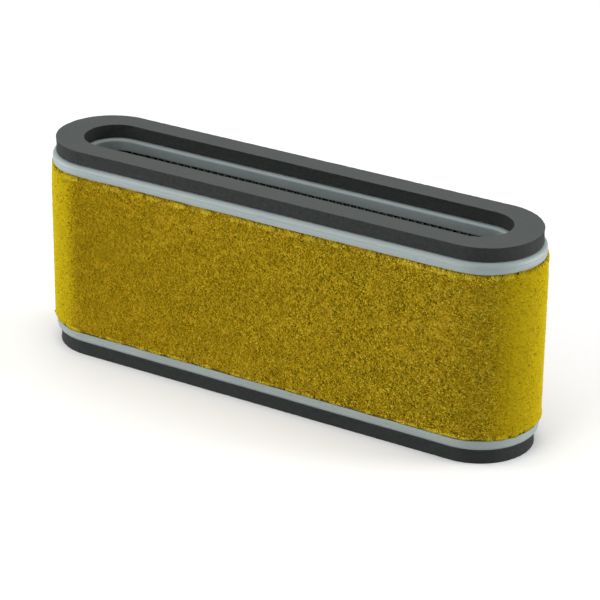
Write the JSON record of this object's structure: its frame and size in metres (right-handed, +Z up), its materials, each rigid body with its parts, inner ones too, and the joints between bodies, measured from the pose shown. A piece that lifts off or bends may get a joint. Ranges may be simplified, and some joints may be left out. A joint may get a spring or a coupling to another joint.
{
  "type": "air filter element",
  "caption": "Long oval air filter element: pleated paper between expanded-steel tubes, fleece pre-filter wrap, zinc-plated end caps and sponge-rubber ring seals, open slot through.",
  "frame": {"origin": "centre of the lower seal's resting face", "axes": "+Z up through the slot, towards the upper seal; +X along the slot's length; +Y across it, towards the wall with the fleece's seam"},
  "size_m": [0.204, 0.0454, 0.0834],
  "materials": {
    "sponge_rubber": "matte",
    "seal_adhesive": "satin",
    "zinc_plated_steel": "satin",
    "potting": "satin",
    "expanded_steel": "satin",
    "filter_paper": "matte",
    "clip_steel": "satin",
    "fleece": "matte",
    "seam_glue": "gloss"
  },
  "bodies": {
    "root": {"bottom_seal": "sponge_rubber", "top_seal": "sponge_rubber", "bottom_seal_adhesive": "seal_adhesive", "top_seal_adhesive": "seal_adhesive", "bottom_end_cap": "zinc_plated_steel", "top_end_cap": "zinc_plated_steel", "bottom_potting": "potting", "top_potting": "potting", "inner_mesh": "expanded_steel", "outer_mesh": "expanded_steel", "pleated_paper": "filter_paper", "pleat_seam_clip": "clip_steel", "fleece_wrap": "fleece", "fleece_seam_glue": "seam_glue"}
  },
  "joints": []
}
